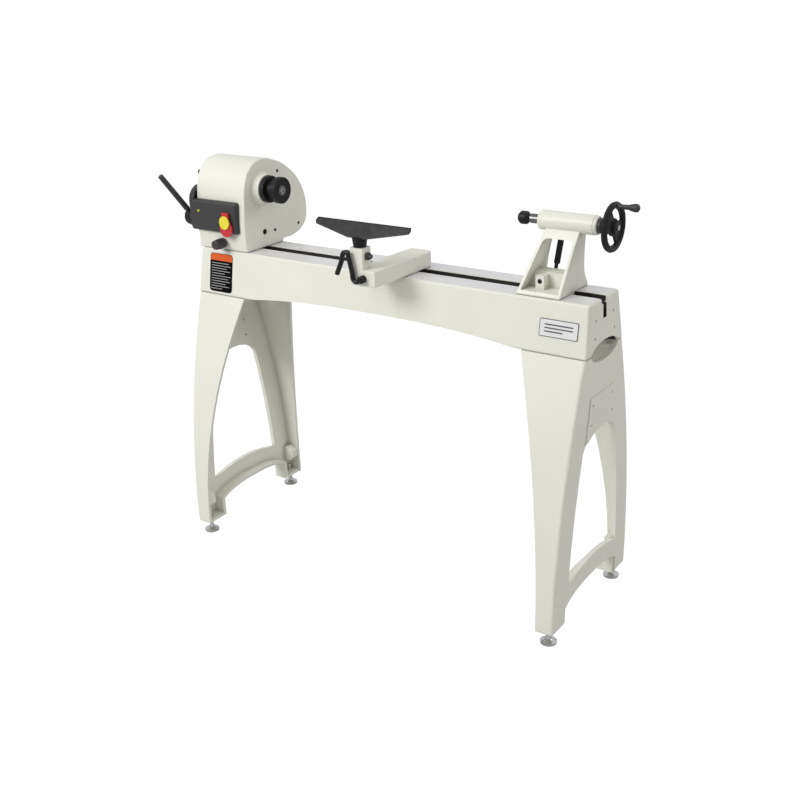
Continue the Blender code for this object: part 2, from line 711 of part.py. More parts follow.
def make_lock_pin():
    """Spring pin that holds the headstock at its fixed angles, with a knob to pull."""
    profile = [
        (-0.043, 0.0),
        (-0.043, 0.0110),
        (-0.041, 0.0140),
        (-0.022, 0.0160),
        (-0.004, 0.0150),
        (-0.003, 0.0058),
        (0.012, 0.0058),
        (0.012, 0.0),
    ]
    knob = turned(profile, "Y", (LOCK_PIN_X, LOCK_PIN_Y, LOCK_PIN_Z), 20)
    pin = part("headstock_lock_pin", knob, "black_plastic")
    smooth(pin)


def make_headstock_clamp():
    shaft = [
        (-0.104, 0.0),
        (-0.104, 0.0070),
        (-0.0305, 0.0070),
        (-0.0300, 0.0084),
        (-0.0012, 0.0084),
        (0.0008, 0.0076),
        (0.0008, 0.0034),
        (-0.006, 0.0034),
        (-0.006, 0.0),
    ]
    smooth(part("headstock_clamp_shaft", turned(shaft, "X", (HEADSTOCK_RIGHT, 0, CLAMP_Z), 18), "black_iron"))
    stud_low, stud_high = 0.866, 0.9600
    stud = part(
        "headstock_clamp_stud",
        rod((PIVOT_X, 0, stud_low), (PIVOT_X, 0, stud_high), 0.0060, segments=16),
        "zinc_steel",
    )
    join(stud, rod((PIVOT_X, 0, stud_low - 0.008), (PIVOT_X, 0, stud_low + 0.0004), 0.011, segments=6))
    join(stud, box((PIVOT_X - 0.008, -0.013, 0.953), (PIVOT_X + 0.008, 0.013, 0.981)))
    cut(stud, rod((PIVOT_X - 0.02, 0, CLAMP_Z), (PIVOT_X + 0.02, 0, CLAMP_Z), 0.0074, segments=18))
    smooth(stud)
    clamp = part("headstock_clamp_plate", clamp_plate(PIVOT_X), "grey_iron")
    bevel(clamp, 0.002)
    cut(clamp, rod((PIVOT_X, 0, 0.86), (PIVOT_X, 0, 0.93), 0.0066, segments=16))


def clamp_plate(x):
    top = BED_TOP - WAY_THICKNESS - CLEARANCE
    return box((x - 0.034, -0.038, top - 0.013), (x + 0.034, 0.038, top))


def make_spindle():
    """Turning parts on the spindle's axis, with x measured from the headstock's right face."""
    spindle = [
        (-0.178, 0.0105),
        (-0.177, 0.0122),
        (-0.1035, 0.0122),
        (-0.1030, 0.0165),
        (-0.0265, 0.0165),
        (-0.0260, 0.0148),
        (-0.0095, 0.0148),
        (-0.0093, 0.0200),
        (0.0005, 0.0200),
        (0.0010, 0.0165),
        (0.0800, 0.0165),
        (0.0815, 0.0150),
        (0.0815, 0.0090),
        (-0.178, 0.0078),
    ]
    centre = (HEADSTOCK_RIGHT, 0, SPINDLE_Z)
    smooth(part("spindle", turned(spindle, "X", centre, 20, ring=True), "polished_steel"))
    ring = [(0.0240, 0.0380), (0.0255, 0.0400), (0.0370, 0.0400)]
    ring += [(0.0385, 0.0380), (0.0385, 0.0168), (0.0240, 0.0168)]
    smooth(part("index_ring", turned(ring, "X", centre, 24, ring=True), "black_iron"))
    disc = [
        (0.0388, 0.0270),
        (0.0640, 0.0270),
        (0.0645, 0.0390),
        (0.0805, 0.0390),
        (0.0820, 0.0375),
        (0.0820, 0.0168),
        (0.0388, 0.0168),
    ]
    faceplate = part("faceplate", turned(disc, "X", centre, 24, ring=True), "black_iron")
    for i in range(8):
        angle = math.radians(45 * i + 22.5)
        y, z = 0.0315 * math.cos(angle), SPINDLE_Z + 0.0315 * math.sin(angle)
        x = HEADSTOCK_RIGHT + 0.082
        cut(faceplate, rod((x - 0.006, y, z), (x + 0.01, y, z), 0.0022, segments=6))
    smooth(faceplate)
    shank = [(0.0150, 0.0), (0.0150, 0.0083), (0.0813, 0.0086), (0.0813, 0.0)]
    drive_centre = part("drive_centre", turned(shank, "X", centre, 20), "polished_steel")
    for turn in (45, 135):
        slot = box((-0.004, -0.0016, -0.010), (0.004, 0.0016, 0.010))
        face_centre = Matrix.Translation((HEADSTOCK_RIGHT + 0.0822, 0, SPINDLE_Z))
        slot.transform(face_centre @ Matrix.Rotation(math.radians(turn), 4, "X"))
        cut(drive_centre, slot)
    smooth(drive_centre)
    for name, (low, high), inner, outer in (
        ("spindle_bearing_front", NOSE_BEARING, 0.0150, 0.0310),
        ("spindle_bearing_rear", TAIL_BEARING, 0.0125, 0.0260),
    ):
        low, high = low + CLEARANCE, high - CLEARANCE
        loop = [(low, outer), (high, outer), (high, inner), (low, inner)]
        smooth(part(name, turned(loop, "X", (0, 0, SPINDLE_Z), 20, ring=True), "polished_steel"))


def sheave(name, side, bore, hub, rim, inner_gap, centre, back):
    """Half of a variable pulley. side is the way its cone faces along X, back is its hub's length."""
    face_inner = inner_gap
    face_outer = inner_gap + (rim - hub) * 0.24
    thick = 0.0035
    loop = [
        (-side * face_inner, bore),
        (-side * face_inner, hub),
        (-side * face_outer, rim),
        (-side * (face_outer + 0.0025), rim),
        (-side * (face_inner + thick + 0.002), hub + 0.006),
        (-side * back, hub + 0.004),
        (-side * back, bore),
    ]
    if side > 0:
        loop = loop[::-1]
    smooth(part(name, turned(loop, "X", centre, 18, ring=True), "grey_iron"))


def make_drive():
    spindle_centre = (DRIVE_X, 0, SPINDLE_Z)
    motor_centre = (DRIVE_X, MOTOR_Y, MOTOR_Z)
    sheave("spindle_fixed_sheave", 1, 0.0125, 0.020, 0.052, 0.0022, spindle_centre, 0.022)
    sheave("spindle_sliding_sheave", -1, 0.0125, 0.020, 0.052, 0.0022, spindle_centre, 0.016)
    sheave("motor_fixed_sheave", -1, 0.0083, 0.014, 0.036, 0.0022, motor_centre, 0.018)
    sheave("motor_sliding_sheave", 1, 0.0083, 0.014, 0.036, 0.0022, motor_centre, 0.014)
    belt_half = 0.0050
    outer = belt_loop(0.0400, 0.0345)
    inner = belt_loop(0.0340, 0.0285)
    belt = plate([outer, inner], "YZ", DRIVE_X - belt_half, DRIVE_X + belt_half)
    smooth(part("drive_belt", belt, "belt_rubber"))
    motor = [
        (-0.4795, 0.0),
        (-0.4795, 0.0300),
        (-0.4830, 0.0560),
        (-0.4880, 0.0580),
        (-0.5640, 0.0580),
        (-0.5690, 0.0560),
        (-0.5712, 0.0300),
        (-0.5712, 0.0086),
        (-0.5000, 0.0086),
        (-0.5000, 0.0),
    ]
    motor = part("motor", turned(motor[::-1], "X", (0, MOTOR_Y, MOTOR_Z), 20), "motor_paint")
    smooth(motor)
    shaft = [(-0.6400, 0.0), (-0.6400, 0.0080), (-0.5040, 0.0080), (-0.5040, 0.0)]
    smooth(part("motor_shaft", turned(shaft, "X", (0, MOTOR_Y, MOTOR_Z), 16), "polished_steel"))


def belt_loop(spindle_radius, motor_radius):
    """Outline of a belt round the spindle's pulley and the motor's: two arcs joined by straight runs."""
    across, down = MOTOR_Y, MOTOR_Z - SPINDLE_Z
    distance = math.hypot(across, down)
    heading = math.degrees(math.atan2(down, across))
    wrap = math.degrees(math.acos((spindle_radius - motor_radius) / distance))
    loop = arc((0, SPINDLE_Z), spindle_radius, heading + wrap, heading + 360 - wrap, 12)
    loop += arc((MOTOR_Y, MOTOR_Z), motor_radius, heading - wrap, heading + wrap, 8)
    return loop


def make_headstock():
    make_headstock_casting()
    make_face_screws()
    make_control_housing()
    hub_x = make_speed_control()
    make_switch()
    make_lock_pin()
    make_headstock_clamp()
    make_spindle()
    make_drive()
    return hub_x


# ---- banjo and tool rest ----
ARM_LOW, ARM_HIGH = BED_TOP + 0.0006, 0.966
ARM_FRONT, ARM_REAR = -0.217, 0.050
ARM_HALF = 0.0375
COLUMN_TOP = 1.023
COLUMN_HALF = 0.0215
BANJO_CLAMP_Y = -0.010
ROD_Z = 0.9430
POST_RADIUS = 0.0127


def make_banjo():
    x, clamp_y = BANJO_X, BANJO_CLAMP_Y
    corner = 0.014
    outline = [(x - ARM_HALF, ARM_FRONT), (x + ARM_HALF, ARM_FRONT)]
    outline += arc((x + ARM_HALF - corner, ARM_REAR - corner), corner, 0, 90, 5)
    outline += arc((x - ARM_HALF + corner, ARM_REAR - corner), corner, 90, 180, 5)
    skew = 0.040  # the arm runs slightly towards the tailstock as it goes back
    outline = [(px + skew * (py - ARM_FRONT), py) for px, py in outline]
    arm = part("banjo", plate(outline, "XY", ARM_LOW, ARM_HIGH), "cream_paint")
    bevel(arm, 0.005, 2, 60)
    slot = [(x - 0.019, -0.100), (x + 0.019, -0.100)] + arc((x, 0.0225), 0.019, 0, 180, 7)
    cut(arm, plate(slot, "XY", ARM_LOW - 0.01, 0.9570))
    column_low, column_high = POST_X - COLUMN_HALF, POST_X + COLUMN_HALF
    column = plate(
        rounded_rectangle((column_low, ARM_FRONT + 0.001), (column_high, ARM_FRONT + 0.041), 0.004, 3),
        "XY", ARM_LOW + 0.004, COLUMN_TOP,
    )
    join(arm, column)
    cut(
        arm,
        rod((POST_X, POST_Y, 0.90), (POST_X, POST_Y, 1.03), POST_RADIUS + CLEARANCE, segments=24),
        rod((x, -0.23, ROD_Z), (x, 0.0435, ROD_Z), 0.0066, segments=16),
        rod((-0.01, POST_Y, 1.0), (0.08, POST_Y, 1.0), 0.0053, segments=14),
    )
    smooth(arm)
    block = part(
        "banjo_clamp_block",
        box((x - 0.0185, clamp_y - 0.020, BED_TOP + 0.0006), (x + 0.0185, clamp_y + 0.020, 0.9555)),
        "grey_iron",
    )
    cut(block, rod((x, -0.06, ROD_Z), (x, 0.06, ROD_Z), 0.0066, segments=16))
    join(block, rod((x, clamp_y, 0.868), (x, clamp_y, BED_TOP + 0.004), 0.0065, segments=16))
    join(block, rod((x, clamp_y, 0.864), (x, clamp_y, 0.872), 0.0115, segments=6))
    smooth(block)
    clamp = part("banjo_clamp_plate", clamp_plate(x), "grey_iron")
    bevel(clamp, 0.002)
    cut(clamp, rod((x, clamp_y, 0.86), (x, clamp_y, 0.93), 0.0071, segments=16))


def make_banjo_lock():
    """Shaft through the arm that pulls the clamp up, with its cranked handle at the front."""
    x = BANJO_X
    front = ARM_FRONT - CLEARANCE
    bar_y = ARM_FRONT - 0.0102
    profile = [
        (front - 0.0165, 0.0),
        (front - 0.0165, 0.0080),
        (front - 0.0150, 0.0098),
        (front, 0.0105),
        (front, 0.0060),
        (0.042, 0.0060),
        (0.042, 0.0),
    ]
    lever = part("banjo_lock_lever", turned(profile, "Y", (x, 0, ROD_Z), 18), "black_iron")
    elbow = (x - 0.018, bar_y, ROD_Z - 0.008)
    knee = (x - 0.026, bar_y, ROD_Z - 0.002)
    tip = (x - 0.041, bar_y, ROD_Z + 0.070)
    bent = tube([(x, bar_y, ROD_Z - 0.001), elbow, knee, (x - 0.028, bar_y, ROD_Z + 0.012), tip], 0.0066, 1)
    join(lever, bent)
    smooth(lever)


def make_tool_rest():
    """Black rest casting with a sloped face, on a steel post."""
    middle, half = 0.0425, 0.1500
    top = 1.087
    end_depth, middle_depth = 0.016, 0.039
    back = -0.182
    outline = [(middle - half, top), (middle - half - 0.004, top - 0.008), (middle - half, top - end_depth)]
    outline += [(POST_X - 0.030, top - middle_depth), (POST_X + 0.030, top - middle_depth)]
    outline += [(middle + half - 0.004, top - end_depth), (middle + half, top - end_depth + 0.006)]
    outline += [(middle + half, top)]
    rest = part("tool_rest", plate(outline, "XZ", -0.25, -0.15), "black_iron")
    section = [
        (back, top),
        (back - 0.0060, top),
        (back - 0.0300, top - 0.041),
        (back - 0.0240, top - 0.041),
        (back - 0.0120, top - 0.030),
        (back - 0.0040, top - 0.012),
    ]
    keep_common(rest, plate(section, "YZ", middle - 0.2, middle + 0.2))
    bevel(rest, 0.0012, 2)
    collar = rod((POST_X, POST_Y, COLUMN_TOP + 0.0006), (POST_X, POST_Y, top - 0.036), 0.0175, 0.0215, 24)
    join(rest, collar)
    cut(rest, rod((POST_X, POST_Y, 1.00), (POST_X, POST_Y, 1.046), POST_RADIUS + CLEARANCE, segments=24))
    smooth(rest)
    profile = [(0.9465, 0.0), (0.9465, 0.0115), (0.9480, POST_RADIUS), (1.0455, POST_RADIUS), (1.0455, 0.0)]
    smooth(part("tool_rest_post", turned(profile, "Z", (POST_X, POST_Y, 0), 24), "polished_steel"))


def make_post_lock():
    left = POST_X - COLUMN_HALF - CLEARANCE
    z = 1.0
    profile = [
        (left - 0.0150, 0.0),
        (left - 0.0150, 0.0085),
        (left, 0.0095),
        (left, 0.0050),
        (POST_X - POST_RADIUS - 0.0008, 0.0050),
        (POST_X - POST_RADIUS - 0.0008, 0.0),
    ]
    handle = part("post_lock_handle", turned(profile, "X", (0, POST_Y, z), 18), "black_iron")
    bend_x = left - 0.0365
    bar = [
        (left - 0.008, POST_Y, z),
        (bend_x + 0.006, POST_Y, z + 0.002),
        (bend_x, POST_Y, z - 0.004),
        (bend_x - 0.003, POST_Y, z - 0.016),
        (bend_x - 0.023, POST_Y, z - 0.062),
    ]
    join(handle, tube(bar, 0.0068, 1))
    smooth(handle)
    right = POST_X + COLUMN_HALF + CLEARANCE
    knob = [
        (POST_X + POST_RADIUS + 0.0008, 0.0),
        (POST_X + POST_RADIUS + 0.0008, 0.0050),
        (right, 0.0050),
        (right, 0.0105),
        (right + 0.0070, 0.0105),
        (right + 0.0075, 0.0066),
        (right + 0.0145, 0.0058),
        (right + 0.0145, 0.0),
    ]
    smooth(part("post_stop_knob", turned(knob, "X", (0, POST_Y, z), 18), "black_plastic"))


# ---- tailstock ----
BARREL = (0.4665, 0.6285)
BARREL_RADIUS = 0.0250
CLAMP_SHAFT_Z = 0.953
CLAMP_SHAFT_X = 0.493
QUILL_START = 0.4385
WHEEL_X = 0.6650
HANDLE_RADIUS = 0.0525
QUILL_LOCK_X = 0.500
TAIL_WALL = 0.009  # thickness of the tailstock's two side walls


def tailstock_side(inset=0.0):
    """Left and right edges of the splayed body at the bed and at the spindle's height."""
    low, high = BED_TOP + 0.0006, SPINDLE_Z
    return [(0.439 + inset, low), (0.564 - inset, low), (0.587 - inset, high), (0.494 + inset, high)]


def tailstock_room(low, high, inset, corner=0.0):
    """The part of the front view between two heights and between the side walls."""
    left_low, right_low, right_high, left_high = tailstock_side(inset)
    rise = left_high[1] - left_low[1]

    def edges(z):
        share = (z - left_low[1]) / rise
        left = left_low[0] + share * (left_high[0] - left_low[0])
        return left, right_low[0] + share * (right_high[0] - right_low[0])

    points = [(edges(low)[0], low), (edges(low)[1], low)]
    if corner:
        points += [(edges(high - corner)[1], high - corner)]
        points += [(edges(high)[1] - 0.3 * corner, high - 0.3 * corner), (edges(high)[1] - corner, high)]
        points += [(edges(high)[0] + corner, high), (edges(high)[0] + 0.3 * corner, high - 0.3 * corner)]
        points += [(edges(high - corner)[0], high - corner)]
    else:
        points += [(edges(high)[1], high), (edges(high)[0], high)]
    return points


def make_tailstock_casting():
    """Two thin leaning walls on a floor plate, joined by a block for the clamp and by the quill's barrel."""
    low = BED_TOP + 0.0006
    rear = [(0.084, low), (0.082, 0.928), (0.066, 0.944), (0.050, 0.966)]
    rear += [(0.038, 0.998), (0.030, 1.030), (0.022, 1.085)]
    front = [(-0.019, 1.085), (-0.036, 1.045), (-0.079, 0.929), (-0.082, 0.925), (-0.082, low)]
    casting = part("tailstock_casting", plate(rear + front, "YZ", 0.42, 0.62), "cream_paint")
    keep_common(casting, plate(tailstock_side(), "XZ", -0.2, 0.2))
    bevel(casting, 0.003, 2)
    floor_top, block_top, web_bottom = 0.932, 0.971, 1.061
    cut(casting, plate(tailstock_room(floor_top, web_bottom, TAIL_WALL, 0.010), "XZ", -0.2, 0.2))
    block = plate(tailstock_room(floor_top - 0.003, block_top, TAIL_WALL - 0.002), "XZ", -0.024, 0.022)
    boss = box((CLAMP_SHAFT_X - 0.012, -0.052, 0.926), (CLAMP_SHAFT_X + 0.012, -0.015, 0.9675))
    tongue = box((0.445, -GAP_HALF + 0.0005, BED_TOP - 0.010), (0.558, GAP_HALF - 0.0005, BED_TOP + 0.008))
    join(casting, block, boss, tongue)
    start, end = BARREL
    barrel = [
        (start, 0.0),
        (start, 0.0215),
        (start + 0.004, BARREL_RADIUS),
        (end - 0.010, BARREL_RADIUS),
        (end - 0.0095, 0.0238),
        (end - 0.003, 0.0238),
        (end, 0.0215),
        (end, 0.0),
    ]
    join(casting, turned(barrel, "X", (0, 0, SPINDLE_Z), 28))
    cut(
        casting,
        rod((start - 0.01, 0, SPINDLE_Z), (end - 0.010, 0, SPINDLE_Z), 0.0128, segments=24),
        rod((end - 0.02, 0, SPINDLE_Z), (end + 0.01, 0, SPINDLE_Z), 0.0072, segments=16),
        rod((CLAMP_SHAFT_X, -0.1, CLAMP_SHAFT_Z), (CLAMP_SHAFT_X, 0.1, CLAMP_SHAFT_Z), 0.0063, segments=16),
        rod((CLAMP_SHAFT_X, 0, 0.90), (CLAMP_SHAFT_X, 0, 0.960), 0.0068, segments=16),
        box((CLAMP_SHAFT_X - 0.010, -0.012, 0.9440), (CLAMP_SHAFT_X + 0.010, 0.012, 0.9680)),
        rod((QUILL_LOCK_X, 0.0, SPINDLE_Z), (QUILL_LOCK_X, 0.05, SPINDLE_Z), 0.0043, segments=12),
    )
    smooth(casting)


def make_tailstock_clamp():
    """Eccentric shaft with the lever behind the clamp block, and the stud and plate that it pulls up."""
    x, z = CLAMP_SHAFT_X, CLAMP_SHAFT_Z
    profile = [
        (-0.0540, 0.0),
        (-0.0540, 0.0050),
        (-0.0530, 0.0058),
        (0.0230, 0.0058),
        (0.0232, 0.0115),
        (0.0400, 0.0115),
        (0.0400, 0.0),
    ]
    lever = part("tailstock_clamp_lever", turned(profile, "Y", (x, 0, z), 18), "black_iron")
    join(lever, rod((x, 0.0335, z), (x + 0.0068, 0.0365, z + 0.055), 0.0050, segments=12))
    join(lever, rod((x + 0.0036, 0.0360, z + 0.028), (x + 0.0162, 0.0440, z + 0.128), 0.0082, segments=16))
    smooth(lever)
    stud = part("tailstock_clamp_plate", clamp_plate(x), "grey_iron")
    bevel(stud, 0.002)
    join(stud, rod((x, 0, 0.885), (x, 0, 0.946), 0.0060, segments=16))
    join(stud, box((x - 0.0085, -0.0105, 0.9445), (x + 0.0085, 0.0105, 0.966)))
    cut(stud, rod((x, -0.05, z), (x, 0.05, z), 0.0062, segments=16))
    smooth(stud)


def make_quill():
    start = QUILL_START
    profile = [(0.0, 0.0100), (0.0015, 0.0122), (0.150, 0.0122)]
    profile += [(0.150, 0.0064), (0.075, 0.0064), (0.0, 0.0082)]
    quill = part("quill", turned(profile, "X", (start, 0, SPINDLE_Z), 20, ring=True), "polished_steel")
    cut(quill, box((start + 0.012, -0.0016, SPINDLE_Z + 0.0102), (start + 0.142, 0.0016, SPINDLE_Z + 0.02)))
    smooth(quill)
    shank = [(-0.0005, 0.0), (-0.0005, 0.0060), (0.0, 0.0078), (0.066, 0.0062), (0.066, 0.0)]
    shank = [(start + a - 0.0002, r) for a, r in shank]
    smooth(part("live_centre_shank", turned(shank, "X", (0, 0, SPINDLE_Z), 20), "polished_steel"))
    head_right = start - 0.0010
    head = [
        (head_right - 0.0330, 0.0),
        (head_right - 0.0330, 0.0060),
        (head_right - 0.0320, 0.0110),
        (head_right - 0.0260, 0.0165),
        (head_right - 0.0240, 0.0170),
        (head_right - 0.0120, 0.0170),
        (head_right - 0.0080, 0.0160),
        (head_right - 0.0040, 0.0110),
        (head_right, 0.0090),
        (head_right, 0.0),
    ]
    smooth(part("live_centre_head", turned(head, "X", (0, 0, SPINDLE_Z), 20), "black_iron"))


def make_handwheel():
    """Leadscrew, its collar and the handwheel with its handle."""
    end = BARREL[1]
    screw = [
        (0.518, 0.0),
        (0.518, 0.0058),
        (end - 0.0105, 0.0058),
        (end - 0.0100, 0.0068),
        (WHEEL_X + 0.0150, 0.0068),
        (WHEEL_X + 0.0150, 0.0),
    ]
    smooth(part("leadscrew", turned(screw, "X", (0, 0, SPINDLE_Z), 18), "zinc_steel"))
    collar = [
        (end + 0.0004, 0.0180),
        (end + 0.0010, 0.0190),
        (end + 0.0080, 0.0190),
        (end + 0.0100, 0.0170),
        (end + 0.0100, 0.0071),
        (end + 0.0004, 0.0071),
    ]
    smooth(part("screw_collar", turned(collar, "X", (0, 0, SPINDLE_Z), 20, ring=True), "black_plastic"))
    x, radius, thick = WHEEL_X, 0.0548, 0.0083
    rim = []
    for i in range(8):
        angle = math.radians(180 - 45 * i)
        rim.append((x + thick * math.cos(angle), radius + thick * math.sin(angle)))
    wheel = part("handwheel", turned(rim, "X", (0, 0, SPINDLE_Z), 32, ring=True), "black_iron")
    web = [(x - 0.0045, 0.0), (x - 0.0045, 0.0500), (x + 0.0025, 0.0500), (x + 0.0025, 0.0)]
    hub = [(end + 0.0103, 0.0), (end + 0.0103, 0.0170), (x - 0.004, 0.0190)]
    hub += [(x + 0.0090, 0.0150), (x + 0.0120, 0.0)]
    join(wheel, turned(web, "X", (0, 0, SPINDLE_Z), 32), turned(hub, "X", (0, 0, SPINDLE_Z), 20))
    for middle in (62, 242):
        opening = arc((0, SPINDLE_Z), 0.0465, middle - 50, middle + 50, 9)
        opening += arc((0, SPINDLE_Z), 0.0225, middle + 38, middle - 38, 5)
        cut(wheel, plate(opening, "YZ", x - 0.02, x + 0.02))
    handle_z = SPINDLE_Z + HANDLE_RADIUS
    cut(
        wheel,
        rod((x - 0.04, 0, SPINDLE_Z), (x + 0.04, 0, SPINDLE_Z), 0.0071, segments=18),
        rod((x - 0.02, 0, handle_z), (x + 0.02, 0, handle_z), 0.0033, segments=12),
    )
    smooth(wheel)
    profile = [
        (x - 0.0060, 0.0),
        (x - 0.0060, 0.0030),
        (x + 0.0090, 0.0030),
        (x + 0.0094, 0.0046),
        (x + 0.0125, 0.0064),
        (x + 0.0250, 0.0058),
        (x + 0.0380, 0.0064),
        (x + 0.0470, 0.0090),
        (x + 0.0560, 0.0108),
        (x + 0.0625, 0.0090),
        (x + 0.0655, 0.0045),
        (x + 0.0660, 0.0),
    ]
    smooth(part("handwheel_handle", turned(profile, "X", (0, 0, handle_z), 18), "black_plastic"))


def make_quill_lock():
    """Lever behind the barrel, level at rest and hidden from the front."""
    x, y = QUILL_LOCK_X, BARREL_RADIUS
    profile = [
        (0.0130, 0.0),
        (0.0130, 0.0040),
        (y + 0.0010, 0.0040),
        (y + 0.0012, 0.0080),
        (y + 0.0140, 0.0075),
        (y + 0.0140, 0.0),
    ]
    lock = part("quill_lock_lever", turned(profile, "Y", (x, 0, SPINDLE_Z), 16), "black_iron")
    tip = (x + 0.046, y + 0.0130, SPINDLE_Z - 0.005)
    join(lock, rod((x, y + 0.0080, SPINDLE_Z), tip, 0.0048, 0.0058, 12))
    smooth(lock)


def make_tailstock():
    make_tailstock_casting()
    make_tailstock_clamp()
    make_quill()
    make_handwheel()
    make_quill_lock()


# ---- joints ----
def joint_axes(hub_x):
    """Every moving body: its joint's name, a point on the axis, the body that carries it and its pieces."""
    swivel = "headstock_swivel"
    handle_z = SPINDLE_Z + HANDLE_RADIUS
    joints = [
        ("headstock_travel", (PIVOT_X, 0, BED_TOP), None, ["headstock_clamp_plate"]),
        (swivel, (PIVOT_X, 0, BED_TOP), "headstock_travel", HEADSTOCK_PIECES),
        ("headstock_clamp", (HEADSTOCK_RIGHT, 0, CLAMP_Z), swivel, ["headstock_clamp_shaft"]),
        ("lock_pin_pull", (LOCK_PIN_X, LOCK_PIN_Y, LOCK_PIN_Z), swivel, ["headstock_lock_pin"]),
        ("spindle_spin", (HEADSTOCK_RIGHT, 0, SPINDLE_Z), swivel, SPINDLE_PIECES),
        ("motor_spin", (DRIVE_X, MOTOR_Y, MOTOR_Z), swivel, ["motor_shaft", "motor_fixed_sheave"]),
        ("sheave_slide", (DRIVE_X, MOTOR_Y, MOTOR_Z), "motor_spin", ["motor_sliding_sheave"]),
        ("speed_lever_turn", (hub_x, *DIAL_CENTRE), swivel, ["speed_lever", "speed_lever_grip"]),
        ("switch_press", (SWITCH_X, HOUSING_FRONT - 0.0005, PADDLE_TOP), swivel, ["switch_paddle"]),
        ("key_pull", (SWITCH_X, HOUSING_FRONT, KEY_Z), "switch_press", ["safety_key"]),
        ("banjo_travel", (BANJO_X, BANJO_CLAMP_Y, BED_TOP), None, ["banjo_clamp_plate"]),
        ("banjo_swivel", (BANJO_X, BANJO_CLAMP_Y, BED_TOP), "banjo_travel", ["banjo_clamp_block"]),
        ("banjo_reach", (BANJO_X, BANJO_CLAMP_Y, ROD_Z), "banjo_swivel", ["banjo", "post_stop_knob"]),
        ("banjo_lock", (BANJO_X, ARM_FRONT, ROD_Z), "banjo_reach", ["banjo_lock_lever"]),
        ("post_lock", (POST_X, POST_Y, 1.0), "banjo_reach", ["post_lock_handle"]),
        ("rest_height", (POST_X, POST_Y, COLUMN_TOP), "banjo_reach", ["tool_rest_post"]),
        ("rest_swivel", (POST_X, POST_Y, COLUMN_TOP), "rest_height", ["tool_rest"]),
        ("tailstock_travel", (CLAMP_SHAFT_X, 0, BED_TOP), None, TAILSTOCK_PIECES),
        ("tailstock_clamp", (CLAMP_SHAFT_X, 0, CLAMP_SHAFT_Z), "tailstock_travel", ["tailstock_clamp_lever"]),
        ("handwheel_turn", (WHEEL_X, 0, SPINDLE_Z), "tailstock_travel", WHEEL_PIECES),
        ("handle_spin", (WHEEL_X + 0.03, 0, handle_z), "handwheel_turn", ["handwheel_handle"]),
        ("quill_slide", (QUILL_START, 0, SPINDLE_Z), "tailstock_travel", ["quill", "live_centre_shank"]),
        ("live_centre_spin", (QUILL_START - 0.015, 0, SPINDLE_Z), "quill_slide", ["live_centre_head"]),
        ("quill_lock", (QUILL_LOCK_X, BARREL_RADIUS, SPINDLE_Z), "tailstock_travel", ["quill_lock_lever"]),
    ]
    for i, (x, y) in enumerate(FEET):
        joints.append((f"foot_{i + 1}_height", (x, y, 0), None, [f"levelling_foot_{i + 1}"]))
    return joints


HEADSTOCK_PIECES = [
    "headstock_casting", "control_housing", "speed_dial", "switch_body", "power_indicator", "face_screw_1",
    "face_screw_2", "face_screw_3", "headstock_clamp_stud", "spindle_bearing_front", "spindle_bearing_rear",
    "drive_belt", "motor",
]
TAILSTOCK_PIECES = ["tailstock_casting", "tailstock_clamp_plate"]
WHEEL_PIECES = ["handwheel", "leadscrew", "screw_collar"]
SPINDLE_PIECES = [
    "spindle", "drive_centre", "index_ring", "faceplate", "spindle_fixed_sheave", "spindle_sliding_sheave",
]
FEET = [(sx * FOOT_X, sy * FOOT_Y) for sx in (-1, 1) for sy in (-1, 1)]


def new_empty(name, location):
    empty = bpy.data.objects.new(name, None)
    empty.location = location
    empty.empty_display_size = 0.03
    PARTS.objects.link(empty)
    return empty


def hang(child, parent, parent_at):
    """Parents child, whose place is given in the bed's frame, to an empty at parent_at."""
    child.parent = parent
    child.matrix_parent_inverse = Matrix.Translation(-Vector(parent_at))


def assemble(hub_x):
    origin = (0, 0, 0)
    root = new_empty("lathe_origin", (FRAME_SHIFT, 0, 0))
    empties = {}
    places = {}
    loose = {obj.name for obj in PARTS.objects if obj.type == "MESH"}
    for name, place, carrier, pieces in joint_axes(hub_x):
        empty = new_empty(name, place)
        if carrier:
            hang(empty, empties[carrier], places[carrier])
        else:
            hang(empty, root, origin)
        empties[name], places[name] = empty, place
        for piece in pieces:
            hang(PARTS.objects[piece], empty, place)
            loose.discard(piece)
    for piece in sorted(loose):
        hang(PARTS.objects[piece], root, origin)


def main():
    global PARTS, CUTTERS
    clear_scene()
    PARTS = new_collection("wood_lathe")
    CUTTERS = new_collection("cutters")
    CUTTERS.hide_render = True
    make_base()
    for i, (x, y) in enumerate(FEET):
        make_foot(f"levelling_foot_{i + 1}", x, y)
    hub_x = make_headstock()
    make_banjo()
    make_banjo_lock()
    make_tool_rest()
    make_post_lock()
    make_tailstock()
    assemble(hub_x)


main()
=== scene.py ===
"""Looks for the wood lathe: materials, detail pieces, floor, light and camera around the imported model."""

import json
import math

import bmesh
import bpy
from mathutils import Matrix, Vector

